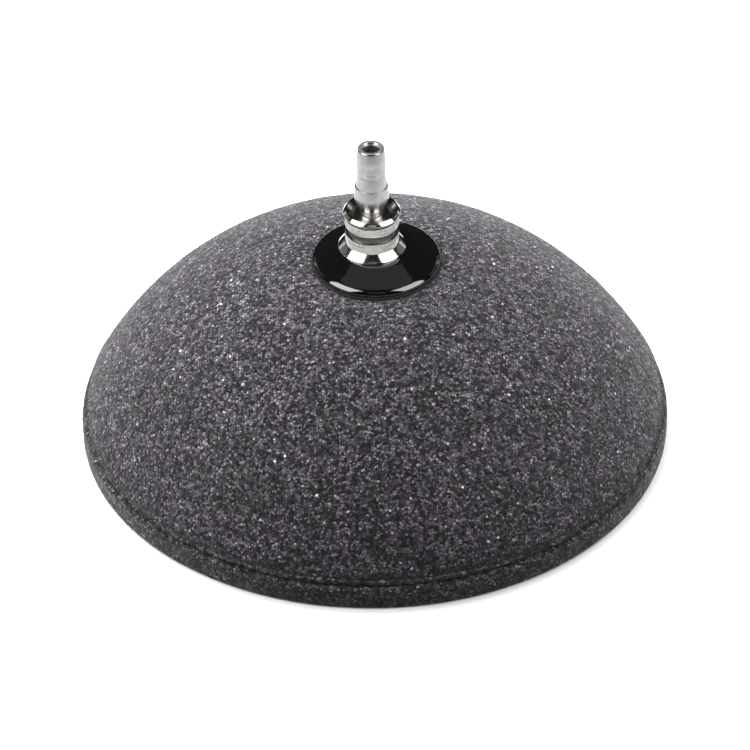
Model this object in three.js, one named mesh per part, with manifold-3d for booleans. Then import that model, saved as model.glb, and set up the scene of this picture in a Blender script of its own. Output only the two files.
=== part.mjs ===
// Dome air stone: a hollow dome of bonded grit closed by a plate of the same grit, with a plated
// hose fitting clamped through its crown. Millimetres, +Z up, origin on the resting face's centre.
import * as THREE from 'three';
import { mergeVertices } from 'three/addons/utils/BufferGeometryUtils.js';
import Module from 'manifold-3d';

const wasm = await Module();
wasm.setup();

// Driving dimensions of the stone
const BASE = { radius: 75, thickness: 6.4, edgeRound: 1.5, footChamfer: 0.7 };
const BASE_STEP = { inset: 2, height: 3, chamfer: 0.6 };
const BOND = { thickness: 1, recess: 2.6 };
const CROWN_RADIUS = 83.5;
const SHOULDER = { radius: 12.6, height: 4, widest: 74.6 };
const DOME_EDGE_ROUND = 1;
const WALL = 11;
const SEAT = { height: 50.6, blend: 25 };

// Driving dimensions of the seals and of the clamped stack
const GASKET = { radius: 16.5, thickness: 0.6 };
const CAP = { radius: 16.2, thickness: 4.6, edge: 0.4, flat: 9.7 };
const CAP_SHOULDER = { reach: 2.6, rise: 1.9, turn: 0.98 };
const CAP_HOLE_RADIUS = 5.3;
const CAP_OFFSET = 1;
const SEAL = { radius: 6.1, section: 0.5 };
const LOWER_GASKET = { radius: 11, thickness: 1.5 };
const WASHER = { radius: 10, thickness: 1.2 };
const NUT = { acrossFlats: 13, thickness: 5, chamfer: 0.6 };

// Driving dimensions of the fitting; heights are measured from the flange's underside
const STUD = { radius: 4, bore: 2.2, chamfer: 0.8, proud: 2, holeGap: 0.5, threadGap: 0.1 };
const SEAL_GROOVE = { inner: 5.2, outer: 7, depth: 1 };
const FLANGE = { radius: 8.55, edge: 0.9, skirtFoot: 7.65, skirtBend: 1.25, skirtTip: 6.95, top: 2.1 };
const KNURL = { core: 6.2, root: 6.42, tip: 6.75, teeth: 40, overlap: 0.1 };
const KNURL_BANDS = [{ foot: 2.1, top: 4.75 }, { foot: 6.85, top: 9.2 }];
const CUP = { foot: 9.2, footRadius: 6.55, radius: 7.3, widest: 10.4, lipRadius: 6.55, top: 11.4 };
const DISH = { radius: 6.2, floor: 9.6, floorRadius: 4.4 };
const NECK = { radius: 3.35, foot: 5, top: 14.4, pressGap: 0.05 };
const STOP = { footRadius: 3.9, rise: 0.35, radius: 4.45, widest: 15.6, topRadius: 4, top: 18.5 };
const LOWER_BARB = { radius: 3.9, foot: 18.6, topRadius: 3.55, top: 21.8 };
const BARB_GROOVE = { radius: 3.4, edge: 0.15 };
const UPPER_BARB = { radius: 3.7, foot: 24.6 };
const TIP = { radius: 3.2, height: 29.7, round: 0.25, bore: 2, chamfer: 0.4 };

// Facets round each kind of turned piece
const STONE_FACETS = 64;
const METAL_FACETS = 40;

// Sizes worked out from the driving dimensions
const domeFoot = BASE.thickness + BOND.thickness;
const innerCrown = CROWN_RADIUS - WALL;
const shoulderCentre = SHOULDER.widest - SHOULDER.radius;
const crownCentre = SHOULDER.height - Math.sqrt((CROWN_RADIUS - SHOULDER.radius) ** 2 - shoulderCentre ** 2);
const ceiling = SEAT.height - WALL;
const mouthRadius = Math.sqrt(innerCrown ** 2 - (domeFoot - crownCentre) ** 2);
const capFoot = SEAT.height + GASKET.thickness;
const flangeFoot = capFoot + CAP.thickness;
const washerFoot = ceiling - LOWER_GASKET.thickness - WASHER.thickness;
const nutFoot = washerFoot - NUT.thickness;
const studLength = flangeFoot - nutFoot + STUD.proud;

const stone = new THREE.MeshStandardMaterial({ color: 0x4b4a4e, roughness: 0.95, metalness: 0 });
const resin = new THREE.MeshStandardMaterial({ color: 0x242327, roughness: 0.7, metalness: 0 });
const blackPlastic = new THREE.MeshStandardMaterial({ color: 0x0a0a0b, roughness: 0.12, metalness: 0 });
const rubber = new THREE.MeshStandardMaterial({ color: 0x18181a, roughness: 0.85, metalness: 0 });
const nickel = new THREE.MeshStandardMaterial({ color: 0xc9c8c6, roughness: 0.18, metalness: 1 });
const satinNickel = new THREE.MeshStandardMaterial({ color: 0xbfbdba, roughness: 0.4, metalness: 1 });
const steel = new THREE.MeshStandardMaterial({ color: 0xa8a9ab, roughness: 0.35, metalness: 1 });

// Points of an arc, its angles in radians from the outward direction.
function arc(radius, height, size, from, to, steps) {
  const points = [];
  for (let i = 0; i <= steps; i += 1) {
    const angle = from + ((to - from) * i) / steps;
    points.push([radius + size * Math.cos(angle), height + size * Math.sin(angle)]);
  }
  return points;
}

// A solid turned round +Z from [radius, height] pairs that run anticlockwise: it starts and ends on
// the axis, or closes on itself round a hole.
function turned(profile, facets) {
  const outline = profile.map(([radius, height]) => new THREE.Vector2(radius, height));
  const hasHole = profile[0][0] > 0;
  if (hasHole) {
    outline.push(outline[0].clone());
  }
  return new THREE.LatheGeometry(outline, facets).rotateX(Math.PI / 2);
}

// A flat ring that stands on the height 0.
function ring(innerRadius, outerRadius, thickness, facets) {
  const profile = [
    [innerRadius, 0],
    [outerRadius, 0],
    [outerRadius, thickness],
    [innerRadius, thickness],
  ];
  return turned(profile, facets);
}

// A closed outline round the axis, whose radius is given for each of its corners in turn.
function polarShape(corners, radiusOf) {
  const points = [];
  for (let i = 0; i < corners; i += 1) {
    const angle = (2 * Math.PI * i) / corners;
    points.push(new THREE.Vector2(radiusOf(i) * Math.cos(angle), radiusOf(i) * Math.sin(angle)));
  }
  return new THREE.Shape(points);
}

function toManifold(geometry) {
  const bare = geometry.clone();
  bare.deleteAttribute('normal');
  bare.deleteAttribute('uv');
  const merged = mergeVertices(bare, 1e-4);
  const vertProperties = new Float32Array(merged.attributes.position.array);
  const triVerts = new Uint32Array(merged.index.array);
  return new wasm.Manifold(new wasm.Mesh({ numProp: 3, vertProperties, triVerts }));
}

function toGeometry(manifold) {
  const mesh = manifold.getMesh();
  const geometry = new THREE.BufferGeometry();
  geometry.setAttribute('position', new THREE.BufferAttribute(mesh.vertProperties, 3));
  geometry.setIndex(new THREE.BufferAttribute(mesh.triVerts, 1));
  return geometry;
}

function piece(name, geometry, material, height, offset = 0) {
  const mesh = new THREE.Mesh(geometry, material);
  mesh.name = name;
  mesh.position.set(offset, 0, height);
  return mesh;
}

// The porous dome: a flat seat that blends into a crown, which rolls over a tighter shoulder into
// an upright rim. It is hollow inside, with a hole for the stud at the top.
function stoneDome() {
  const edgeCentre = domeFoot + DOME_EDGE_ROUND;
  const edgeAngle = Math.asin((edgeCentre - SHOULDER.height) / SHOULDER.radius);
  const edgeRadius = shoulderCentre + SHOULDER.radius * Math.cos(edgeAngle);
  const shoulderEnd = Math.atan2(SHOULDER.height - crownCentre, shoulderCentre);
  const blendHeight = SEAT.height - SEAT.blend;
  const blendRadius = Math.sqrt((CROWN_RADIUS - SEAT.blend) ** 2 - (blendHeight - crownCentre) ** 2);
  const crownEnd = Math.atan2(blendHeight - crownCentre, blendRadius);
  const mouthAngle = Math.asin((domeFoot - crownCentre) / innerCrown);
  const ceilingAngle = Math.asin((ceiling - crownCentre) / innerCrown);
  const holeRadius = STUD.radius + STUD.holeGap;
  const profile = [
    [mouthRadius, domeFoot],
    ...arc(edgeRadius - DOME_EDGE_ROUND, edgeCentre, DOME_EDGE_ROUND, -Math.PI / 2, 0, 2),
    ...arc(shoulderCentre, SHOULDER.height, SHOULDER.radius, edgeAngle, shoulderEnd, 4).slice(1),
    ...arc(0, crownCentre, CROWN_RADIUS, shoulderEnd, crownEnd, 8).slice(1),
    ...arc(blendRadius, blendHeight, SEAT.blend, crownEnd, Math.PI / 2, 2).slice(1),
    [holeRadius, SEAT.height],
    [holeRadius, ceiling],
    ...arc(0, crownCentre, innerCrown, ceilingAngle, mouthAngle, 7).slice(0, -1),
  ];
  return piece('stone_dome', turned(profile, STONE_FACETS), stone, 0);
}

// The porous plate that closes the dome: a rounded rim outside, and a low step that centres the dome.
function stoneBase() {
  const stepRadius = mouthRadius - BASE_STEP.inset;
  const stepTop = BASE.thickness + BASE_STEP.height;
  const edgeCentre = [BASE.radius - BASE.edgeRound, BASE.thickness - BASE.edgeRound];
  const profile = [
    [0, 0],
    [BASE.radius - BASE.footChamfer, 0],
    [BASE.radius, BASE.footChamfer],
    ...arc(...edgeCentre, BASE.edgeRound, 0, Math.PI / 2, 4),
    [stepRadius, BASE.thickness],
    [stepRadius, stepTop - BASE_STEP.chamfer],
    [stepRadius - BASE_STEP.chamfer, stepTop],
    [0, stepTop],
  ];
  return piece('stone_base', turned(profile, STONE_FACETS), stone, 0);
}

// The bead of resin that bonds the dome's foot to the plate, set back so that a groove shows outside.
function bondSeam() {
  const bead = ring(mouthRadius, BASE.radius - BOND.recess, BOND.thickness, STONE_FACETS);
  return piece('bond_seam', bead, resin, BASE.thickness);
}

// The thin gasket between the stone's seat and the black cap.
function upperGasket() {
  const geometry = ring(CAP_HOLE_RADIUS, GASKET.radius, GASKET.thickness, METAL_FACETS);
  return piece('upper_gasket', geometry, rubber, SEAT.height, CAP_OFFSET);
}

// The glossy black cap washer: a short edge, a low full shoulder, a cone and a flat under the
// flange. Its hole is wider than the stud, so it sits a little off centre.
function capWasher() {
  const flatten = CAP_SHOULDER.rise / CAP_SHOULDER.reach;
  const shoulder = arc(CAP.radius - CAP_SHOULDER.reach, 0, CAP_SHOULDER.reach, 0, CAP_SHOULDER.turn, 5);
  const profile = [
    [CAP_HOLE_RADIUS, 0],
    [CAP.radius, 0],
    ...shoulder.map(([radius, height]) => [radius, CAP.edge + flatten * height]),
    [CAP.flat, CAP.thickness],
    [CAP_HOLE_RADIUS, CAP.thickness],
  ];
  return piece('cap_washer', turned(profile, METAL_FACETS), blackPlastic, capFoot, CAP_OFFSET);
}

// The O-ring in the groove under the flange.
function flangeSeal() {
  const profile = arc(SEAL.radius, SEAL.section, SEAL.section, -Math.PI / 2, 1.5 * Math.PI, 8);
  return piece('flange_seal', turned(profile.slice(0, -1), METAL_FACETS), rubber, flangeFoot);
}

// A band of straight knurling, its teeth standing proud of the fitting's core.
function knurlBand({ foot, top }) {
  const outline = polarShape(2 * KNURL.teeth, (i) => (i % 2 === 0 ? KNURL.tip : KNURL.root));
  const hole = polarShape(METAL_FACETS, () => (KNURL.core + NECK.radius) / 2);
  outline.holes.push(hole);
  const depth = top - foot + 2 * KNURL.overlap;
  const band = new THREE.ExtrudeGeometry(outline, { depth, bevelEnabled: false });
  return toManifold(band.translate(0, 0, foot - KNURL.overlap));
}

// Flange, knurled grip and cup above the cap washer; below it, the stud that goes through the stone.
function fittingBody() {
  const socket = NECK.radius + NECK.pressGap;
  const profile = [
    [STUD.bore, -studLength],
    [STUD.radius - STUD.chamfer, -studLength],
    [STUD.radius, STUD.chamfer - studLength],
    [STUD.radius, 0],
    [SEAL_GROOVE.inner, 0],
    [SEAL_GROOVE.inner, SEAL_GROOVE.depth],
    [SEAL_GROOVE.outer, SEAL_GROOVE.depth],
    [SEAL_GROOVE.outer, 0],
    [FLANGE.radius, 0],
    [FLANGE.radius, FLANGE.edge],
    [FLANGE.skirtFoot, FLANGE.skirtBend],
    [FLANGE.skirtTip, FLANGE.top],
    [KNURL.core, FLANGE.top],
    [KNURL.core, CUP.foot],
    [CUP.footRadius, CUP.foot],
    [CUP.radius, CUP.widest],
    [CUP.lipRadius, CUP.top],
    [DISH.radius, CUP.top],
    [DISH.floorRadius, DISH.floor],
    [socket, DISH.floor],
    [socket, NECK.foot],
    [STUD.bore, NECK.foot],
  ];
  let solid = toManifold(turned(profile, METAL_FACETS));
  for (const band of KNURL_BANDS) {
    solid = solid.add(knurlBand(band));
  }
  return piece('fitting_body', toGeometry(solid), nickel, flangeFoot);
}

// The hose barb: two tapered barbs, a rounded stop, and a neck pressed into the fitting's socket.
function hoseBarb() {
  const profile = [
    [TIP.bore, NECK.foot],
    [NECK.radius, NECK.foot],
    [NECK.radius, NECK.top],
    [STOP.footRadius, NECK.top + STOP.rise],
    [STOP.radius, STOP.widest],
    [STOP.topRadius, STOP.top],
    [LOWER_BARB.radius, LOWER_BARB.foot],
    [LOWER_BARB.topRadius, LOWER_BARB.top],
    [BARB_GROOVE.radius, LOWER_BARB.top + BARB_GROOVE.edge],
    [BARB_GROOVE.radius, UPPER_BARB.foot - BARB_GROOVE.edge],
    [UPPER_BARB.radius, UPPER_BARB.foot],
    [TIP.radius, TIP.height - TIP.round],
    [TIP.radius - TIP.round, TIP.height],
    [TIP.bore + TIP.chamfer, TIP.height],
    [TIP.bore, TIP.height - TIP.chamfer],
  ];
  return piece('hose_barb', turned(profile, METAL_FACETS), satinNickel, flangeFoot);
}

// The rubber gasket under the dome's ceiling.
function lowerGasket() {
  const hole = STUD.radius + STUD.threadGap;
  const geometry = ring(hole, LOWER_GASKET.radius, LOWER_GASKET.thickness, METAL_FACETS);
  return piece('lower_gasket', geometry, rubber, ceiling - LOWER_GASKET.thickness);
}

// The steel washer that spreads the nut's load over the gasket.
function clampWasher() {
  const hole = STUD.radius + STUD.threadGap;
  const geometry = ring(hole, WASHER.radius, WASHER.thickness, METAL_FACETS);
  return piece('clamp_washer', geometry, steel, washerFoot);
}

// The hexagon nut on the stud's end, its corners turned off by a cone at both ends.
function lockNut() {
  const hole = STUD.radius + STUD.threadGap;
  const cornerRadius = NUT.acrossFlats / Math.sqrt(3);
  const coneFoot = cornerRadius - 2 * NUT.chamfer;
  const coneRim = cornerRadius + NUT.chamfer;
  const hexagon = polarShape(6, () => cornerRadius);
  const block = new THREE.ExtrudeGeometry(hexagon, { depth: NUT.thickness, bevelEnabled: false });
  const drum = turned([
    [hole, 0],
    [coneFoot, 0],
    [coneRim, 2 * NUT.chamfer],
    [coneRim, NUT.thickness - 2 * NUT.chamfer],
    [coneFoot, NUT.thickness],
    [hole, NUT.thickness],
  ], METAL_FACETS);
  const solid = toManifold(block).intersect(toManifold(drum));
  return piece('lock_nut', toGeometry(solid), steel, nutFoot);
}

const airStone = new THREE.Group();
airStone.name = 'air_stone';
airStone.add(
  stoneDome(),
  stoneBase(),
  bondSeam(),
  upperGasket(),
  capWasher(),
  flangeSeal(),
  fittingBody(),
  hoseBarb(),
  lowerGasket(),
  clampWasher(),
  lockNut(),
);

export default airStone;
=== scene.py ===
"""Looks of the dome air stone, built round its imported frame. Metres, +Z up; profiles are in millimetres."""

import math

import bpy
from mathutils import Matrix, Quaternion, Vector, noise


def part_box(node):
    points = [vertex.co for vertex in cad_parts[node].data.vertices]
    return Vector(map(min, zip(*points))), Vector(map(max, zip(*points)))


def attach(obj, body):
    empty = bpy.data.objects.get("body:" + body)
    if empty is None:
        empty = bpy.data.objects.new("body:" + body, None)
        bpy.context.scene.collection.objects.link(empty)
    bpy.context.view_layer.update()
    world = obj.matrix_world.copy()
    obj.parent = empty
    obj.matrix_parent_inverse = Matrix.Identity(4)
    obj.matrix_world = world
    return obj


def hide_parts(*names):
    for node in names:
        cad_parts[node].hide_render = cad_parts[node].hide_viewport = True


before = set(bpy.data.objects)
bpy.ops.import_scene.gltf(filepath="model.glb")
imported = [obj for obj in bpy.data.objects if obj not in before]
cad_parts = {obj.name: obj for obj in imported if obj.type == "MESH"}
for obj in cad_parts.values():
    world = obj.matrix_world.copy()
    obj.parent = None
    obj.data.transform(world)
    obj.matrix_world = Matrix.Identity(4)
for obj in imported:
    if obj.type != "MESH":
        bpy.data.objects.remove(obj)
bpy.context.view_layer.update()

MM = 0.001
TURN = 2 * math.pi

# The stone's profile, with the same arcs as the frame's solids
CROWN_RADIUS = 83.5
SHOULDER_RADIUS = 12.6
SHOULDER_HEIGHT = 4.0
SHOULDER_WIDEST = 74.6
WALL = 11.0
SEAT_BLEND = 25.0
DOME_EDGE_ROUND = 1.2
STUD_HOLE = 4.6
BASE_THICKNESS = 6.4
BASE_EDGE_ROUND = 1.5
BASE_FOOT_ROUND = 0.9
BASE_STEP_INSET = 2.0
BASE_LAND = 4.0
LEVEL_SLACK = 0.1

# The bead of resin in the groove, and how far it reaches into the dome and the base
BEAD_RADIUS = 0.95
BEAD_BULGE = 1.7
BEAD_LAP = 0.1
BEAD_STEP = 0.2

# How finely the stone is modelled where it shows, on the underside and where it is hidden
GRAIN_STEP = 0.62
UNDERSIDE_STEP = 0.95
HIDDEN_STEP = 2.5

# The grit: its relief with the pits of lost grains, and the size of the grains that its colour shows and of
# the pale grains that also stand in as painted glints
RELIEF_CELL = 1.25
RELIEF_HEIGHT = 0.1
RELIEF_LEVEL = 0.42
PIT_SIZE = 2.4
PIT_RARITY = 0.5
PIT_PLACE = Vector((9, 4, 2))
GRAIN_SIZE = 0.66
FLECK_AND_GLINT_SIZE = 0.85

# The cap washer
CAP_HOLE = 5.3
CAP_EDGE = 0.4
CAP_EDGE_ROUND = 0.2
CAP_SHOULDER_REACH = 2.6
CAP_SHOULDER_RISE = 1.9
CAP_SHOULDER_TURN = 0.98
CAP_FLAT = 9.7
CAP_FLAT_EASE = 0.3

# The fitting; heights are measured from the flange's underside
SEAL_GROOVE_INNER = 5.2
SEAL_GROOVE_OUTER = 7.0
SEAL_GROOVE_DEPTH = 1.0
FLANGE_EDGE = 0.38
SKIRT_RADIUS = 6.95
SKIRT_TOP = 2.1
KNURL_RADIUS = 6.75
KNURL_CORE = 6.2
KNURL_TEETH = 64
KNURL_DEPTH = 0.2
KNURL_SLOPE = math.radians(35)
KNURL_STEP = 0.1
KNURL_BANDS = ((2.2, 4.75), (6.85, 9.2))
NECK_RADIUS = 3.35
SOCKET_PLAY = 0.03
SOCKET_FLOOR = 5.0
DISH_FLOOR = 9.6

# The cup, from its foot over its widest place and its lip into the dish: radius, height, rounding
CUP_PROFILE = (
    (6.55, 9.35, 0.1),
    (7.3, 10.4, 0.3),
    (6.55, 11.35, 0.3),
    (6.2, 11.4, 0.12),
    (4.45, DISH_FLOOR, 0.4),
)

# The hose barb, from its stop over the lower barb, the waist and the upper barb: radius, height, rounding
BARB_BORE = 2.0
STOP_FOOT = 14.4
BARB_PROFILE = (
    (NECK_RADIUS, STOP_FOOT, 0.15),
    (4.1, 14.45, 0.25),
    (4.42, 15.5, 0.8),
    (4.12, 18.5, 0.12),
    (3.86, 18.55, 0.05),
    (3.88, 18.8, 0.1),
    (3.56, 21.5, 0.4),
    (3.46, 21.95, 0.05),
    (3.56, 22.1, 0.05),
    (3.53, 23.2, 0.05),
    (3.48, 23.3, 0.05),
    (3.53, 23.4, 0.05),
    (3.5, 24.45, 0.05),
    (3.7, 24.6, 0.1),
    (3.68, 26.4, 3),
)
TIP_RADIUS = 3.28
TIP_ROUND = 0.35
MOUTH_FLARE = 0.38
MOUTH_DEPTH = 0.8
RIM_BAND = 0.05

# The stud's thread and the nut on it
STUD_RADIUS = 4.0
STUD_BORE = 2.2
STUD_CHAMFER = 0.8
THREAD_PITCH = 1.25
THREAD_DEPTH = 0.68
THREAD_ROOT = 0.1
THREAD_FLANK = 0.75
THREAD_PLAY = 0.08
THREAD_STEP = THREAD_PITCH / 10
RUNOUT_DEPTH = 0.7
RUNOUT_START = 0.6
RUNOUT_LAP = 0.2
NUT_ACROSS_FLATS = 13.0
NUT_FACE_INSET = 1.2
NUT_CONE_SLOPE = 1.5
NUT_CHAMFER = 0.7
NUT_ROWS = 40

# The fitting's metal over the flange's underside, on the lower knurling, in the groove, on the upper
# knurling and on the taper below the cup: foot, top, roughness, tone. The dark tones of the groove and the
# taper are painted shade.
GRIP_BANDS_WITH_PAINTED_SHADE = (
    (2.15, 4.7, 0.42, 1.0),
    # In the groove, the low tone is painted shade
    (4.7, 6.9, 0.3, 0.26),
    (6.9, 9.2, 0.42, 1.0),
    # On the taper under the cup, the low tone is painted shade
    (9.2, 10.4, 0.3, 0.5),
)

# The lamps, metres and degrees: name, azimuth, elevation, width, height, radiance.
# Keys light the stone and are mirrored, fills only light it, cards are only mirrored.
LAMP_DISTANCE = 1.1
LAMP_TARGET = Vector((0, 0, 0.04))
KEYS = (
    ("key_left", -64, 33, 0.85, 1.1, 6.0),
    ("key_right", 64, 33, 0.85, 1.1, 4.8),
)
FILLS = (
    ("fill_left", -108, 26, 1.1, 1.0, 15),
    ("fill_right", 108, 26, 1.1, 1.0, 9.5),
    ("fill_back", 180, 50, 1.6, 1.1, 12),
    ("fill_top", -70, 72, 0.8, 0.8, 8),
)
CARDS = (
    ("card_front", 0, 38, 0.5, 0.2, 0.35),
    ("card_over", 180, 84, 1.1, 0.5, 0.2),
    ("card_left", -122, 14, 0.8, 0.5, 0.18),
    ("card_right", 122, 14, 0.8, 0.5, 0.18),
    ("strip_left", -130, 8, 0.12, 0.5, 0.7),
    ("strip_right", 130, 8, 0.12, 0.5, 0.7),
)

# The floor, the room and the camera, metres and degrees
FLOOR_RADIUS = 0.235
FLOOR_SIDES = 96
FLOOR_TONE = 0.28
ROOM_TONE = 0.012
CAMERA_ELEVATION = 37.5
CAMERA_DISTANCE = 1.2
CAMERA_TARGET = Vector((0.0002, 0, 0.0148))
CAMERA_ROLL = math.radians(-0.85)
CAMERA_LENS = 225.3


def low_mm(node):
    """The height of a node's lowest point."""
    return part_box(node)[0].z / MM


def high_mm(node):
    """The height of a node's highest point."""
    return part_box(node)[1].z / MM


def radius_mm(node):
    """The outer radius of a round node."""
    low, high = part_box(node)
    return (high.y - low.y) / 2 / MM


def offset_mm(node):
    """How far along x a round node stands from the stone's axis."""
    low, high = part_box(node)
    return (high.x + low.x) / 2 / MM


# ---------------------------------------------------------------- outlines

ARC_TURN = 0.3
ARC_SHARE = 0.48


def arc(radius, height, size, start, end, step):
    """Points of an arc, its angles in radians from the outward direction, about a step apart."""
    count = max(2, math.ceil(abs(end - start) * size / step))
    angles = [start + (end - start) * i / count for i in range(count + 1)]
    return [(radius + size * math.cos(a), height + size * math.sin(a)) for a in angles]


def line(start, end, step):
    """Points of a straight stretch, both ends included."""
    start, end = Vector(start), Vector(end)
    count = max(1, math.ceil((end - start).length / step))
    return [tuple(start.lerp(end, i / count)) for i in range(count + 1)]


def joined(*stretches):
    """One outline from several, without the points that repeat where they meet."""
    points = []
    for point in (p for stretch in stretches for p in stretch):
        if not points or math.dist(points[-1], point) > 1e-6:
            points.append(point)
    return points


def rounded(corners):
    """A closed outline through (radius, height, rounding) corners, each turned into an arc.
    An arc takes no more than nearly half of the sides beside it."""
    count = len(corners)
    points = []
    for i, (radius, height, rounding) in enumerate(corners):
        here = Vector((radius, height))
        if rounding == 0:
            points.append(tuple(here))
            continue
        back = Vector(corners[i - 1][:2]) - here
        ahead = Vector(corners[(i + 1) % count][:2]) - here
        half = back.angle(ahead) / 2
        reach = min(rounding / math.tan(half), ARC_SHARE * back.length, ARC_SHARE * ahead.length)
        middle = here + (back.normalized() + ahead.normalized()).normalized() * reach / math.cos(half)
        first = here + back.normalized() * reach - middle
        last = here + ahead.normalized() * reach - middle
        steps = max(2, math.ceil((math.pi - 2 * half) / ARC_TURN))
        size = first.length
        points += [tuple(middle + first.slerp(last, k / steps) * size) for k in range(steps + 1)]
    return joined(points)


# ---------------------------------------------------------------- surfaces

SHARP_EDGE = math.radians(30)

# How many columns a turned piece has
BEAD_COLUMNS = 900
CAP_COLUMNS = 240
BARB_COLUMNS = 160
NUT_COLUMNS = 144
RING_COLUMNS = 96
STUD_COLUMNS = 72
COLUMNS_PER_TOOTH = 7


def ring_count(radius, step):
    """How many points stand about a step apart on a ring; a ring on the axis is one point."""
    return max(12, round(TURN * radius / step)) if radius > 0 else 1


def ring_of(radius, height, count):
    """The points of a ring round the axis."""
    angles = [TURN * i / count for i in range(count)]
    return [Vector((radius * math.cos(a), radius * math.sin(a), height)) for a in angles]


def stitch(lower, upper):
    """Triangles between two rings of vertex numbers, which may hold different counts."""
    faces = []
    i = j = 0
    lower_steps = len(lower) if len(lower) > 1 else 0
    upper_steps = len(upper) if len(upper) > 1 else 0
    while i < lower_steps or j < upper_steps:
        a = lower[i % len(lower)]
        b = upper[j % len(upper)]
        lower_is_behind = (i + 1) * upper_steps <= (j + 1) * lower_steps
        if j >= upper_steps or (i < lower_steps and lower_is_behind):
            i += 1
            faces.append((a, lower[i % len(lower)], b))
        else:
            j += 1
            faces.append((a, upper[j % len(upper)], b))
    return faces


def even_surface(outline, steps, closed):
    """A turned surface in triangles of one size: each ring has as many points as its step asks for."""
    points, rings, faces = [], [], []
    for (radius, height), step in zip(outline, steps):
        count = ring_count(radius, step)
        rings.append(range(len(points), len(points) + count))
        points += ring_of(radius, height, count)
    pairs = zip(rings, rings[1:] + rings[:1]) if closed else zip(rings, rings[1:])
    for lower, upper in pairs:
        faces += stitch(lower, upper)
    return points, faces


def turned_surface(outline, columns, shape=None):
    """A ring turned from a closed outline, in a plain grid; shape may move each point's radius."""
    points, faces = [], []
    for radius, height in outline:
        for i in range(columns):
            angle = TURN * i / columns
            here = shape(radius, height, angle) if shape else radius
            points.append(Vector((here * math.cos(angle), here * math.sin(angle), height)))
    rows = len(outline)
    for k in range(rows):
        low, high = k * columns, (k + 1) % rows * columns
        for i in range(columns):
            ahead = (i + 1) % columns
            faces.append((low + i, low + ahead, high + ahead, high + i))
    return points, faces


def together(*shells):
    """Several surfaces as one."""
    points, faces = [], []
    for shell_points, shell_faces in shells:
        start = len(points)
        points += shell_points
        faces += [tuple(start + vertex for vertex in face) for face in shell_faces]
    return points, faces


def add_piece(name, surface, material, node, offset=0.0):
    """A shown piece from a surface in millimetres, riding on the one body and standing for a node."""
    points, faces = surface
    shift = Vector((offset, 0, 0))
    mesh = bpy.data.meshes.new(name)
    mesh.from_pydata([(p + shift) * MM for p in points], [], faces)
    mesh.polygons.foreach_set("use_smooth", [True] * len(mesh.polygons))
    mesh.set_sharp_from_angle(angle=SHARP_EDGE)
    mesh.materials.append(material)
    piece = bpy.data.objects.new(name, mesh)
    bpy.context.scene.collection.objects.link(piece)
    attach(piece, "root")
    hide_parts(node)


# ---------------------------------------------------------------- stone


def swell(point, height, size):
    """A smooth random rise or hollow, at most height high, with lumps of about this size."""
    return height * noise.noise(point / size)


def grit(point):
    """How far a point of the stone's skin stands out, in millimetres: grains, hollows, lost grains."""
    wave = swell(point, 0.1, 15) + swell(point, 0.08, 5)
    nearest = noise.voronoi(point / RELIEF_CELL)[0][0]
    grain = RELIEF_HEIGHT * (RELIEF_LEVEL - nearest)
    fine = swell(point, 0.08, 0.85)
    pit = max(0.0, noise.noise(point / PIT_SIZE + PIT_PLACE) - PIT_RARITY)
    return wave + grain + fine - pit


def roughened(surface, skin, limit=None):
    """The surface with its first points, the skin, moved along their normals by the grit."""
    points, faces = surface
    normals = [Vector() for _ in range(skin)]
    for face in faces:
        a, b, c = (points[vertex] for vertex in face)
        normal = (b - a).cross(c - a)
        for vertex in face:
            if vertex < skin:
                normals[vertex] += normal
    moved = []
    for point, normal in zip(points, normals):
        height = grit(point)
        moved.append(point + normal.normalized() * (min(height, limit(point)) if limit else height))
    return moved + points[skin:], faces


def count_points(outline, steps):
    """How many points an even surface has on this outline."""
    return sum(ring_count(radius, step) for (radius, height), step in zip(outline, steps))


def crown_centre():
    """The height of the middle of the crown's arc, which runs on smoothly from the shoulder's."""
    reach = SHOULDER_WIDEST - SHOULDER_RADIUS
    return SHOULDER_HEIGHT - math.sqrt((CROWN_RADIUS - SHOULDER_RADIUS) ** 2 - reach**2)


def mouth_radius():
    """The dome's inner radius at its foot."""
    inner = CROWN_RADIUS - WALL
    return math.sqrt(inner**2 - (low_mm("stone_dome") - crown_centre()) ** 2)


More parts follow.
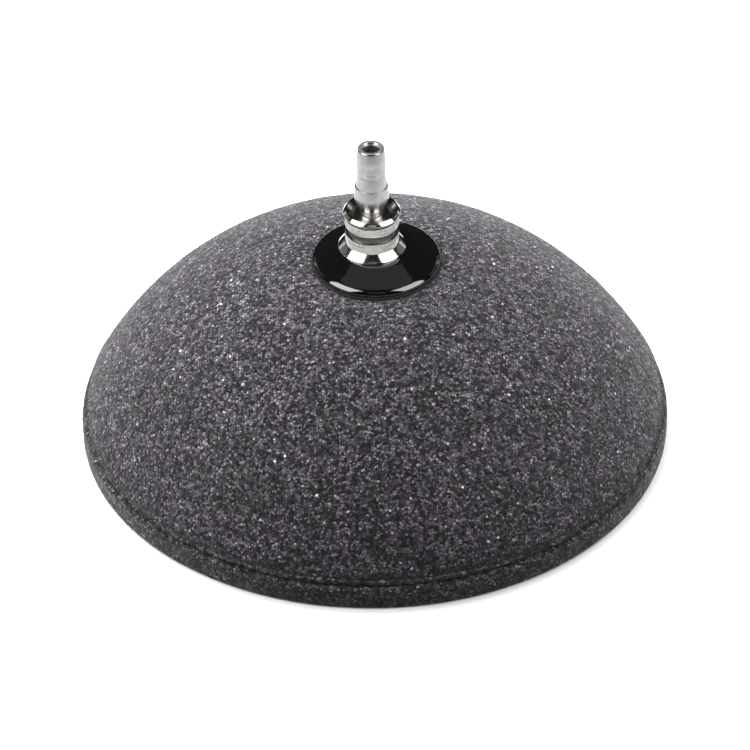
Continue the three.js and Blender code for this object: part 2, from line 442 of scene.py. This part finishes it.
def dome_surface():
    """The dome: its skin from the foot to the seat, then the hole, the ceiling and the inside."""
    foot, seat = low_mm("stone_dome"), high_mm("stone_dome")
    centre = crown_centre()
    shoulder = SHOULDER_WIDEST - SHOULDER_RADIUS
    shoulder_turn = math.atan2(SHOULDER_HEIGHT - centre, shoulder)
    edge_height = foot + DOME_EDGE_ROUND
    edge_turn = math.asin((edge_height - SHOULDER_HEIGHT) / SHOULDER_RADIUS)
    edge_radius = shoulder + SHOULDER_RADIUS * math.cos(edge_turn) - DOME_EDGE_ROUND
    blend_height = seat - SEAT_BLEND
    blend_radius = math.sqrt((CROWN_RADIUS - SEAT_BLEND) ** 2 - (blend_height - centre) ** 2)
    crown_turn = math.atan2(blend_height - centre, blend_radius)
    inner, ceiling = CROWN_RADIUS - WALL, seat - WALL
    ceiling_turn = math.asin((ceiling - centre) / inner)
    mouth_turn = math.asin((foot - centre) / inner)
    skin = joined(
        arc(edge_radius, edge_height, DOME_EDGE_ROUND, -math.pi / 2, edge_turn, GRAIN_STEP),
        arc(shoulder, SHOULDER_HEIGHT, SHOULDER_RADIUS, edge_turn, shoulder_turn, GRAIN_STEP),
        arc(0, centre, CROWN_RADIUS, shoulder_turn, crown_turn, GRAIN_STEP),
        arc(blend_radius, blend_height, SEAT_BLEND, crown_turn, math.pi / 2, GRAIN_STEP),
    )
    hidden = joined(
        line((blend_radius, seat), (STUD_HOLE, seat), HIDDEN_STEP),
        line((STUD_HOLE, seat), (STUD_HOLE, ceiling), HIDDEN_STEP),
        line((STUD_HOLE, ceiling), (inner * math.cos(ceiling_turn), ceiling), HIDDEN_STEP),
        arc(0, centre, inner, ceiling_turn, mouth_turn, HIDDEN_STEP),
        line((mouth_radius(), foot), (edge_radius, foot), HIDDEN_STEP),
    )[1:-1]
    steps = [GRAIN_STEP] * len(skin) + [HIDDEN_STEP] * len(hidden)
    surface = even_surface(skin + hidden, steps, closed=True)
    return roughened(surface, count_points(skin, steps))


def base_surface():
    """The plate: its underside, rounded rim and land, then the hidden step that centres the dome."""
    radius, step_top = radius_mm("stone_base"), high_mm("stone_base")
    rim_radius = radius - BASE_EDGE_ROUND
    rim_height = BASE_THICKNESS - BASE_EDGE_ROUND
    foot_radius = radius - BASE_FOOT_ROUND
    land = radius - BASE_LAND
    step = mouth_radius() - BASE_STEP_INSET
    underside = line((0, 0), (foot_radius, 0), UNDERSIDE_STEP)
    rim = joined(
        arc(foot_radius, BASE_FOOT_ROUND, BASE_FOOT_ROUND, -math.pi / 2, 0, GRAIN_STEP),
        line((radius, BASE_FOOT_ROUND), (radius, rim_height), GRAIN_STEP),
        arc(rim_radius, rim_height, BASE_EDGE_ROUND, 0, math.pi / 2, GRAIN_STEP),
        line((rim_radius, BASE_THICKNESS), (land, BASE_THICKNESS), GRAIN_STEP),
    )[1:]
    hidden = joined(
        line((land, BASE_THICKNESS), (step, BASE_THICKNESS), HIDDEN_STEP),
        line((step, BASE_THICKNESS), (step, step_top), HIDDEN_STEP),
        line((step, step_top), (0, step_top), HIDDEN_STEP),
    )[1:]
    skin = underside + rim
    steps = [UNDERSIDE_STEP] * len(underside) + [GRAIN_STEP] * len(rim) + [HIDDEN_STEP] * len(hidden)
    surface = even_surface(skin + hidden, steps, closed=False)

    def limit(point):
        """Nothing stands out below the resting face or into the bond."""
        is_flat = point.z < BASE_FOOT_ROUND / 2 or point.z > BASE_THICKNESS - LEVEL_SLACK
        return 0.0 if is_flat else 1.0

    return roughened(surface, count_points(skin, steps), limit)


def bond_surface():
    """The bond between dome and plate: a thin layer, and the bead of gritty resin that fills its groove."""
    foot, top = low_mm("bond_seam") - BEAD_LAP, high_mm("bond_seam") + BEAD_LAP
    edge, inner = radius_mm("bond_seam"), mouth_radius()
    middle = (edge + BEAD_BULGE - BEAD_RADIUS, foot + BEAD_RADIUS)
    outline = joined(
        line((inner, foot), middle[:1] + (foot,), HIDDEN_STEP),
        arc(*middle, BEAD_RADIUS, -math.pi / 2, math.pi / 2, BEAD_STEP),
        [(middle[0] - BEAD_RADIUS, middle[1]), (middle[0] - BEAD_RADIUS, top)],
        line((edge - HIDDEN_STEP, top), (inner, top), HIDDEN_STEP),
    )

    def shape(radius, height, angle):
        if radius < middle[0]:
            return radius
        place = Vector((edge * math.cos(angle), edge * math.sin(angle), height))
        return radius + swell(place, 0.35, 6) + swell(place, 0.4, 1.1)

    return turned_surface(outline, BEAD_COLUMNS, shape)


# ---------------------------------------------------------------- cap, seals and metal


def cap_surface():
    """The cap washer: a short edge, a low full shoulder, a cone and a flat under the flange."""
    foot, top = low_mm("cap_washer"), high_mm("cap_washer")
    radius = radius_mm("cap_washer")
    round_arc = arc(radius - CAP_SHOULDER_REACH, 0, CAP_SHOULDER_REACH, 0, CAP_SHOULDER_TURN, 0.12)
    flatten = CAP_SHOULDER_RISE / CAP_SHOULDER_REACH
    shoulder = [(r, foot + CAP_EDGE + flatten * height) for r, height in round_arc]
    outline = joined(
        [(CAP_HOLE, foot), (radius - CAP_EDGE_ROUND, foot), (radius, foot + CAP_EDGE_ROUND)],
        shoulder,
        line(shoulder[-1], (CAP_FLAT + CAP_FLAT_EASE, top - CAP_FLAT_EASE / 2), 0.5),
        [(CAP_FLAT, top - CAP_FLAT_EASE / 10)],
        line((CAP_FLAT - CAP_FLAT_EASE, top), (CAP_HOLE, top), 0.8),
    )
    return turned_surface(outline, CAP_COLUMNS)


def gasket_surface():
    """The thin gasket under the cap, its rim swollen and a little uneven from the clamping."""
    foot, top = low_mm("upper_gasket"), high_mm("upper_gasket")
    radius = radius_mm("upper_gasket")
    outline = rounded([(CAP_HOLE, foot, 0), (radius, foot, 0.25), (radius, top, 0.25), (CAP_HOLE, top, 0)])

    def shape(here, height, angle):
        uneven = swell(Vector((4 * math.cos(angle), 4 * math.sin(angle), 0)), 0.12, 1)
        return here + uneven if here > radius / 2 else here

    return turned_surface(outline, CAP_COLUMNS, shape)


def seal_surface():
    """The O-ring in the flange's groove."""
    section = (high_mm("flange_seal") - low_mm("flange_seal")) / 2
    middle = radius_mm("flange_seal") - section
    height = low_mm("flange_seal") + section
    return turned_surface(arc(middle, height, section, 0, TURN, 0.15)[:-1], RING_COLUMNS)


def zigzag(value):
    """0 at whole numbers, rising to 1 halfway between them."""
    return 1 - abs(1 - 2 * (value % 1.0))


def thread(radius, height, angle):
    """The radius of a V thread of the stud's pitch, with its crests and roots cut flat."""
    across = zigzag(height / THREAD_PITCH - angle / TURN)
    up_the_flank = min(1.0, max(0.0, (across - THREAD_ROOT) / THREAD_FLANK))
    return radius - THREAD_DEPTH * (1 - up_the_flank)


def knurled(radius, height, angle):
    """The radius of crossed knurling, two sets of grooves that slope opposite ways round the grip."""
    around = KNURL_TEETH * angle / TURN
    along = KNURL_TEETH * height / (TURN * KNURL_RADIUS) * math.tan(KNURL_SLOPE)
    ridge = min(zigzag(around + along), zigzag(around - along))
    return radius - KNURL_DEPTH * (1 - min(1.0, 2 * ridge))


def raised(profile, flange):
    """A profile given from the flange's underside, at its real heights."""
    return [(radius, flange + height, rounding) for radius, height, rounding in profile]


def head_surface(flange, radius):
    """Flange with its seal groove, skirt, knurled grip, dished cup and the neck's socket."""
    socket = NECK_RADIUS + SOCKET_PLAY
    seat = raised([
        (STUD_BORE, 0, 0),
        (SEAL_GROOVE_INNER, 0, 0.1),
        (SEAL_GROOVE_INNER, SEAL_GROOVE_DEPTH, 0),
        (SEAL_GROOVE_OUTER, SEAL_GROOVE_DEPTH, 0),
        (SEAL_GROOVE_OUTER, 0, 0.1),
        (radius, 0, 0.12),
        (radius, FLANGE_EDGE, 0.22),
        (SKIRT_RADIUS, SKIRT_TOP, 0.12),
    ], flange)
    grip = []
    for foot, top in KNURL_BANDS:
        rows = line((KNURL_RADIUS, foot), (KNURL_RADIUS, top), KNURL_STEP)
        grip.append((KNURL_CORE, flange + foot, 0.1))
        grip += [(row_radius, flange + height, 0) for row_radius, height in rows]
        grip.append((KNURL_CORE, flange + top, 0.1))
    hollow = raised([
        (socket, DISH_FLOOR, 0.03),
        (socket, SOCKET_FLOOR, 0),
        (STUD_BORE, SOCKET_FLOOR, 0),
    ], flange)

    def knurl(here, height, angle):
        return knurled(here, height, angle) if abs(here - KNURL_RADIUS) < 1e-4 else here

    outline = rounded(seat + grip + raised(CUP_PROFILE, flange) + hollow)
    return turned_surface(outline, KNURL_TEETH * COLUMNS_PER_TOOTH, knurl)


def stud_surface(foot, flange):
    """The threaded stud, which runs out into a thinner neck just under the flange."""
    runout = STUD_RADIUS - RUNOUT_DEPTH
    outline = joined(
        [(STUD_BORE, foot), (STUD_RADIUS - STUD_CHAMFER, foot)],
        line((STUD_RADIUS, foot + STUD_CHAMFER), (STUD_RADIUS, flange - RUNOUT_START), THREAD_STEP),
        [(runout, flange - RUNOUT_LAP), (runout, flange + RUNOUT_LAP), (STUD_BORE, flange + RUNOUT_LAP)],
    )

    def cut(here, height, angle):
        return thread(here, height, angle) if here == STUD_RADIUS else here

    return turned_surface(outline, STUD_COLUMNS, cut)


def fitting_surface():
    """The head over the cap, and below it the stud."""
    flange = high_mm("cap_washer")
    head = head_surface(flange, radius_mm("fitting_body"))
    return together(head, stud_surface(low_mm("fitting_body"), flange))


def barb_surface():
    """The hose barb: tip, two barbs, rounded stop, and a neck that goes down into its socket."""
    flange = high_mm("cap_washer")
    top = high_mm("hose_barb")
    neck = raised([(BARB_BORE, SOCKET_FLOOR, 0), (NECK_RADIUS, SOCKET_FLOOR, 0.2)], flange)
    tip = [
        (TIP_RADIUS, top, TIP_ROUND),
        (BARB_BORE + MOUTH_FLARE, top, 0.08),
        (BARB_BORE, top - MOUTH_DEPTH, 0.3),
    ]
    return turned_surface(rounded(neck + raised(BARB_PROFILE, flange) + tip), BARB_COLUMNS)


def flat_ring_surface(node, hole, rounding):
    """A plain washer or gasket with rounded edges, as tall and wide as its node."""
    foot, top, radius = low_mm(node), high_mm(node), radius_mm(node)
    corners = [(hole, foot), (radius, foot), (radius, top), (hole, top)]
    return turned_surface(rounded([(*corner, rounding) for corner in corners]), RING_COLUMNS)


def nut_surface():
    """The hexagon nut: flats, corners turned off by a cone at both ends, and a threaded bore."""
    foot, top = low_mm("lock_nut"), high_mm("lock_nut")
    corner = NUT_ACROSS_FLATS / math.sqrt(3)
    face_radius = corner - NUT_FACE_INSET
    bore = STUD_RADIUS + THREAD_PLAY

    def shape(radius, height, angle):
        if radius <= bore:
            return thread(radius, height, angle)
        if radius < corner:
            return radius
        flat = NUT_ACROSS_FLATS / 2 / math.cos(angle % (TURN / 6) - TURN / 12)
        return min(flat, face_radius + NUT_CONE_SLOPE * min(height - foot, top - height))

    outside = [foot + (top - foot) * i / NUT_ROWS for i in range(1, NUT_ROWS)]
    outline = joined(
        line((bore, top), (bore, foot), THREAD_STEP),
        [(bore + NUT_CHAMFER, foot), (face_radius, foot)],
        [(corner, height) for height in outside],
        [(face_radius, top), (bore + NUT_CHAMFER, top)],
    )
    return turned_surface(outline, NUT_COLUMNS, shape)


# ---------------------------------------------------------------- materials

# The sockets of a Mix node that blends colours
MIX_FACTOR = 0
MIX_FIRST = 6
MIX_SECOND = 7
MIX_RESULT = 2

# How much slower a tool mark changes round a turned piece than along it
LINE_DRIFT = 0.04

# The stone's painted shade band just above the bond is given in shares of this height
SEAM_SHADE_SPAN = 20.0

# Pale mineral grains; their brightness also stands in for painted glints
FLECK_AND_GLINT_COLOUR = (0.3, 0.29, 0.29)

# A metal's darkest clouds, as a share of its colour, and how rough plated metal is and how deep its marks
DULLED = 0.86
PLATED_ROUGHNESS = (0.07, 0.16)
PLATED_MARKS = 0.006

# The barb's roughness and tone on the hose grip, on the tip's round edge and on its flat rim
HOSE_GRIP_LOOK = (0.42, 0.58)
TIP_EDGE_LOOK = (0.15, 0.5)
RIM_LOOK = (0.6, 1.0)


def new_material(name):
    """A material with nothing but a Principled shader: (material, tree, shader)."""
    material = bpy.data.materials.new(name)
    material.use_nodes = True
    tree = material.node_tree
    return material, tree, tree.nodes["Principled BSDF"]


def add_node(tree, kind, inputs=None, **settings):
    """Adds a shader node and sets or links its inputs, which are keyed by name or by number."""
    node = tree.nodes.new("ShaderNode" + kind)
    for key, value in settings.items():
        setattr(node, key, value)
    for key, value in (inputs or {}).items():
        if isinstance(value, bpy.types.NodeSocket):
            tree.links.new(value, node.inputs[key])
        else:
            node.inputs[key].default_value = value
    return node


def link(tree, output, shader, name):
    """Drives one of the shader's inputs by an output."""
    tree.links.new(output, shader.inputs[name])


def in_mm(tree):
    """Where a point of the object is, in millimetres."""
    place = add_node(tree, "TexCoord").outputs["Object"]
    return add_node(tree, "VectorMath", {0: place, "Scale": 1 / MM}, operation="SCALE").outputs[0]


def in_turning_lines(tree):
    """Coordinates that change fast along a turned piece's profile and slowly round it."""
    place = add_node(tree, "SeparateXYZ", {0: in_mm(tree)})
    flat = add_node(tree, "CombineXYZ", {0: place.outputs[0], 1: place.outputs[1]})
    radius = add_node(tree, "VectorMath", {0: flat.outputs[0]}, operation="LENGTH").outputs["Value"]
    drift = add_node(tree, "Math", {0: place.outputs[0], 1: LINE_DRIFT}, operation="MULTIPLY").outputs[0]
    return add_node(tree, "CombineXYZ", {0: radius, 1: drift, 2: place.outputs[2]}).outputs[0]


def noise_of(tree, vector, size, detail=2.0, roughness=0.5):
    """A cloud pattern whose lumps are about size millimetres."""
    inputs = {"Vector": vector, "Scale": 1 / size, "Detail": detail, "Roughness": roughness}
    return add_node(tree, "TexNoise", inputs).outputs["Fac"]


def ramp(tree, factor, stops):
    """A colour ramp through (position, colour) stops; a plain number stands for a grey."""
    node = add_node(tree, "ValToRGB", {"Fac": factor})
    elements = node.color_ramp.elements
    while len(elements) < len(stops):
        elements.new(1.0)
    for element, (position, colour) in zip(elements, stops):
        grey = isinstance(colour, (int, float))
        element.position = position
        element.color = (colour, colour, colour, 1) if grey else (*colour, 1)
    return node.outputs["Color"]


def times(tree, first, second):
    """The product of two colours."""
    inputs = {MIX_FACTOR: 1.0, MIX_FIRST: first, MIX_SECOND: second}
    node = add_node(tree, "Mix", inputs, data_type="RGBA", blend_type="MULTIPLY")
    return node.outputs[MIX_RESULT]


def mixed(tree, factor, first, plain):
    """A colour blended by a factor into a plain one."""
    inputs = {MIX_FACTOR: factor, MIX_FIRST: first, MIX_SECOND: (*plain, 1)}
    return add_node(tree, "Mix", inputs, data_type="RGBA").outputs[MIX_RESULT]


def bump(tree, height, distance, over=None):
    """The normal of a pattern that stands out by this many millimetres, over another normal if given."""
    inputs = {"Height": height, "Distance": distance * MM, "Strength": 1.0}
    if over is not None:
        inputs["Normal"] = over
    return add_node(tree, "Bump", inputs).outputs[0]


def cells(tree, vector, size, feature="F1"):
    """A grain pattern of about size millimetres, each grain with its own random colour."""
    inputs = {"Vector": vector, "Scale": 1 / size, "Randomness": 1.0}
    return add_node(tree, "TexVoronoi", inputs, feature=feature, voronoi_dimensions="3D")


def height_of(tree, place):
    """The height of a place over the floor."""
    return add_node(tree, "SeparateXYZ", {0: place}).outputs[2]


def grain_colour(tree, place, random):
    """Each grain's own grey and tint, with painted shade in the gaps between the grains."""
    greys = ramp(tree, random.outputs[0], [
        (0.0, 0.001),
        (0.25, 0.006),
        (0.5, 0.018),
        (0.75, 0.036),
        (0.92, 0.056),
        (0.98, 0.078),
        (1.0, 0.13),
    ])
    tints = ramp(tree, random.outputs[1], [
        (0.0, (0.98, 0.91, 1.1)),
        (0.55, (0.99, 0.9, 1.08)),
        (0.9, (1.06, 0.89, 1.03)),
        (1.0, (1.04, 0.98, 0.9)),
    ])
    edges = cells(tree, place, GRAIN_SIZE, "DISTANCE_TO_EDGE").outputs["Distance"]
    # Painted shade: the gaps between the grains are darkened almost to black
    painted_pore_shade = ramp(tree, edges, [(0.0, 0.05), (0.22, 1.0)])
    return times(tree, times(tree, greys, tints), painted_pore_shade)


def stone_patches(tree, place):
    """What changes over many grains: mottle, faint clouds of colour, and a painted shade band on the dome
    just above the bond.
    """
    mottle = ramp(tree, noise_of(tree, place, 2.6, 3.0, 0.6), [(0.3, 0.55), (0.7, 1.45)])
    clouds = ramp(tree, noise_of(tree, place, 9, 3.0), [
        (0.3, (0.86, 0.93, 0.9)),
        (0.46, (0.98, 1.01, 0.98)),
        (0.54, (1.02, 0.98, 1.02)),
        (0.7, (1.12, 1.03, 1.09)),
    ])
    height = height_of(tree, place)
    share = add_node(tree, "Math", {0: height, 1: SEAM_SHADE_SPAN}, operation="DIVIDE").outputs[0]
    # Painted shade: the dome's foot just above the bond is darkened where the groove's shade falls
    painted_seam_shade = ramp(tree, share, [
        (0.3, 1.0),
        (0.335, 0.45),
        (0.4, 0.55),
        (0.52, 1.0),
    ])
    return times(tree, painted_seam_shade, times(tree, mottle, clouds))


def fleck_and_glint_mask(tree, place):
    """1 on the few pale mineral grains, which also stand in as painted glints, 0 elsewhere."""
    fleck_and_glint_cells = cells(tree, place, FLECK_AND_GLINT_SIZE)
    random = add_node(tree, "SeparateColor", {0: fleck_and_glint_cells.outputs["Color"]})
    is_fleck_and_glint = ramp(tree, random.outputs[0], [(0.9965, 0.0), (0.998, 1.0)])
    in_fleck_and_glint = ramp(tree, fleck_and_glint_cells.outputs["Distance"], [(0.32, 1.0), (0.42, 0.0)])
    return times(tree, is_fleck_and_glint, in_fleck_and_glint)


def stone_material():
    """Bonded grit: dark grains of many greys, with painted shade in the gaps between them, and a few pale
    mineral grains that also stand in as painted glints.
    """
    material, tree, shader = new_material("bonded_grit")
    place = in_mm(tree)
    grains = cells(tree, place, GRAIN_SIZE)
    random = add_node(tree, "SeparateColor", {0: grains.outputs["Color"]})
    body = times(tree, grain_colour(tree, place, random), stone_patches(tree, place))
    # Painted glints: the pale grains are partly the stone's own colour and partly stand in for glints
    link(tree, mixed(tree, fleck_and_glint_mask(tree, place), body, FLECK_AND_GLINT_COLOUR), shader, "Base Color")
    gloss = ramp(tree, random.outputs[2], [(0.0, 0.25), (0.1, 0.6), (1.0, 0.95)])
    link(tree, gloss, shader, "Roughness")
    shader.inputs["Specular IOR Level"].default_value = 0.12
    shader.inputs["Sheen Weight"].default_value = 0.06
    shader.inputs["Sheen Roughness"].default_value = 0.5
    grain_bump = bump(tree, grains.outputs["Distance"], -0.1)
    link(tree, bump(tree, noise_of(tree, place, 0.3, 3.0, 0.7), 0.05, grain_bump), shader, "Normal")
    return material


def resin_material():
    """Dark resin with grit pressed into it."""
    material, tree, shader = new_material("bond_resin")
    place = in_mm(tree)
    grains = cells(tree, place, GRAIN_SIZE)
    random = add_node(tree, "SeparateColor", {0: grains.outputs["Color"]})
    tone = ramp(tree, random.outputs[0], [(0.0, 0.002), (0.5, 0.009), (0.9, 0.024), (1.0, 0.06)])
    link(tree, tone, shader, "Base Color")
    link(tree, ramp(tree, noise_of(tree, place, 1.5), [(0.3, 0.6), (0.7, 0.9)]), shader, "Roughness")
    shader.inputs["Specular IOR Level"].default_value = 0.15
    grain_bump = bump(tree, grains.outputs["Distance"], -0.14)
    link(tree, bump(tree, noise_of(tree, place, 0.7, 3.0), 0.15, grain_bump), shader, "Normal")
    return material


def gloss_black_material():
    """Moulded gloss plastic: faint ripples, fine rubbed marks and a little dust."""
    material, tree, shader = new_material("gloss_black")
    place = in_mm(tree)
    rubbed = noise_of(tree, in_turning_lines(tree), 0.12, 4.0, 0.7)
    dust = ramp(tree, noise_of(tree, place, 0.35, 2.0), [(0.74, 0.0012), (0.82, 0.03)])
    link(tree, dust, shader, "Base Color")
    link(tree, ramp(tree, rubbed, [(0.35, 0.045), (0.75, 0.12)]), shader, "Roughness")
    link(tree, bump(tree, noise_of(tree, place, 2.4, 1.0), 0.012), shader, "Normal")
    shader.inputs["IOR"].default_value = 1.9
    return material


def rubber_material():
    """Matt black rubber with a moulded skin."""
    material, tree, shader = new_material("black_rubber")
    place = in_mm(tree)
    tone = ramp(tree, noise_of(tree, place, 1.1, 3.0), [(0.3, 0.004), (0.7, 0.009)])
    link(tree, tone, shader, "Base Color")
    shader.inputs["Specular IOR Level"].default_value = 0.2
    link(tree, ramp(tree, noise_of(tree, place, 0.6), [(0.3, 0.6), (0.7, 0.85)]), shader, "Roughness")
    link(tree, bump(tree, noise_of(tree, place, 0.25, 2.0), 0.02), shader, "Normal")
    return material


def within(tree, foot, top):
    """1 between two heights in millimetres, 0 elsewhere."""
    height = height_of(tree, in_mm(tree))
    above = add_node(tree, "Math", {0: height, 1: foot}, operation="GREATER_THAN").outputs[0]
    below = add_node(tree, "Math", {0: height, 1: top}, operation="LESS_THAN").outputs[0]
    return add_node(tree, "Math", {0: above, 1: below}, operation="MULTIPLY").outputs[0]


def metal_material(name, colour, rough, line_depth, bands=()):
    """Turned metal: its colour clouds a little and its tool marks run round it. Each band of heights
    has its own roughness and a tone that darkens it; in the fitting's groove and under its cup that darkening
    is painted shade."""
    material, tree, shader = new_material(name)
    place = in_mm(tree)
    lines = noise_of(tree, in_turning_lines(tree), 0.09, 3.0, 0.6)
    darker = tuple(DULLED * channel for channel in colour)
    shade = ramp(tree, noise_of(tree, place, 1.8, 3.0, 0.6), [(0.35, darker), (0.6, colour)])
    low, high = rough
    roughness = ramp(tree, lines, [(0.3, low), (0.7, high)])
    for foot, top, band_roughness, tone in bands:
        is_band = within(tree, foot, top)
        roughness = mixed(tree, is_band, roughness, (band_roughness,) * 3)
        # A tone below 1 darkens the band; on the fitting's groove and taper this is painted shade
        shade = times(tree, shade, ramp(tree, is_band, [(0.0, 1.0), (1.0, tone)]))
    link(tree, shade, shader, "Base Color")
    link(tree, roughness, shader, "Roughness")
    link(tree, bump(tree, lines, line_depth), shader, "Normal")
    shader.inputs["Metallic"].default_value = 1.0
    return material


# ---------------------------------------------------------------- stage


def make_floor():
    """The disc that the stone stands on, bright enough under these lights to show as white."""
    material, tree, shader = new_material("pale_floor")
    shader.inputs["Base Color"].default_value = (FLOOR_TONE, FLOOR_TONE, FLOOR_TONE, 1)
    shader.inputs["Roughness"].default_value = 0.9
    mesh = bpy.data.meshes.new("floor")
    mesh.from_pydata(ring_of(FLOOR_RADIUS, 0, FLOOR_SIDES), [], [tuple(range(FLOOR_SIDES))])
    mesh.materials.append(material)
    floor = bpy.data.objects.new("floor", mesh)
    bpy.context.scene.collection.objects.link(floor)
    floor.visible_diffuse = False


def from_round(azimuth, elevation):
    """The direction from the object to a place round it; azimuth 0 is in front, 90 to the right."""
    a, e = math.radians(azimuth), math.radians(elevation)
    return Vector((math.sin(a) * math.cos(e), -math.cos(a) * math.cos(e), math.sin(e)))


def make_softbox(name, azimuth, elevation, width, height, radiance, in_gloss=True, on_stone=True):
    """A flat, even lamp that faces the stone; it may be left out of mirrored or of scattered light."""
    light = bpy.data.lights.new(name, "AREA")
    light.shape = "RECTANGLE"
    light.size, light.size_y = width, height
    light.energy = radiance * math.pi * width * height
    softbox = bpy.data.objects.new(name, light)
    toward = from_round(azimuth, elevation)
    softbox.location = toward * LAMP_DISTANCE + LAMP_TARGET
    softbox.rotation_mode = "QUATERNION"
    softbox.rotation_quaternion = (-toward).to_track_quat("-Z", "Y")
    softbox.visible_camera = False
    softbox.visible_glossy = in_gloss
    softbox.visible_diffuse = on_stone
    bpy.context.scene.collection.objects.link(softbox)


def make_world():
    """White where the camera looks past the floor, and a dim room for everything else."""
    world = bpy.data.worlds.new("room")
    world.use_nodes = True
    tree = world.node_tree
    is_camera = add_node(tree, "LightPath").outputs["Is Camera Ray"]
    backdrop = ramp(tree, is_camera, [(0.0, ROOM_TONE), (1.0, 1.0)])
    tree.links.new(backdrop, tree.nodes["Background"].inputs["Color"])
    bpy.context.scene.world = world


def make_camera():
    """A long lens a little over a metre away, looking down at the stone."""
    camera = bpy.data.objects.new("camera", bpy.data.cameras.new("camera"))
    back = from_round(0, CAMERA_ELEVATION)
    roll = Quaternion((0, 0, 1), CAMERA_ROLL)
    camera.data.lens = CAMERA_LENS
    camera.location = CAMERA_TARGET + back * CAMERA_DISTANCE
    camera.rotation_mode = "QUATERNION"
    camera.rotation_quaternion = (-back).to_track_quat("-Z", "Y") @ roll
    bpy.context.scene.collection.objects.link(camera)
    bpy.context.scene.camera = camera


def make_stage():
    """Floor, room, lamps and camera."""
    make_floor()
    make_world()
    for key in KEYS:
        make_softbox(*key)
    for fill in FILLS:
        make_softbox(*fill, in_gloss=False)
    for card in CARDS:
        make_softbox(*card, on_stone=False)
    make_camera()
    bpy.context.scene.view_settings.view_transform = "Standard"


# ---------------------------------------------------------------- the object


def make_nickel():
    """The fitting's bright nickel: dull knurling, with painted shade darkening the groove between and the
    taper above.
    """
    flange = high_mm("cap_washer")
    bands = [(flange + foot, flange + top, rough, tone) for foot, top, rough, tone in GRIP_BANDS_WITH_PAINTED_SHADE]
    return metal_material("bright_nickel", (0.7, 0.69, 0.67), PLATED_ROUGHNESS, PLATED_MARKS, bands)


def make_satin_nickel():
    """The barb's nickel: bright on the neck, dull from the stop up, with a bright edge round the tip."""
    stop = high_mm("cap_washer") + STOP_FOOT - 0.1
    tip = high_mm("hose_barb")
    edge, rim = tip - TIP_ROUND, tip - RIM_BAND
    bands = [(stop, edge, *HOSE_GRIP_LOOK), (edge, rim, *TIP_EDGE_LOOK), (rim, tip + 1, *RIM_LOOK)]
    return metal_material("satin_nickel", (0.74, 0.73, 0.72), PLATED_ROUGHNESS, PLATED_MARKS, bands)


def make_object():
    """Every shown piece; cap and gasket stand a little off the stone's axis."""
    stone = stone_material()
    rubber = rubber_material()
    steel = metal_material("washer_steel", (0.56, 0.56, 0.57), (0.28, 0.42), 0.015)
    cap_offset = offset_mm("cap_washer")
    add_piece("dome_grit", dome_surface(), stone, "stone_dome")
    add_piece("base_grit", base_surface(), stone, "stone_base")
    add_piece("bond_bead", bond_surface(), resin_material(), "bond_seam")
    add_piece("gasket_rim", gasket_surface(), rubber, "upper_gasket", cap_offset)
    add_piece("cap_gloss", cap_surface(), gloss_black_material(), "cap_washer", cap_offset)
    add_piece("seal_ring", seal_surface(), rubber, "flange_seal")
    add_piece("fitting_turned", fitting_surface(), make_nickel(), "fitting_body")
    add_piece("barb_turned", barb_surface(), make_satin_nickel(), "hose_barb")
    gasket_pad = flat_ring_surface("lower_gasket", 4.1, 0.3)
    add_piece("gasket_pad", gasket_pad, rubber, "lower_gasket")
    washer_plate = flat_ring_surface("clamp_washer", 4.15, 0.15)
    add_piece("washer_plate", washer_plate, steel, "clamp_washer")
    add_piece("nut_threaded", nut_surface(), steel, "lock_nut")


make_object()
make_stage()
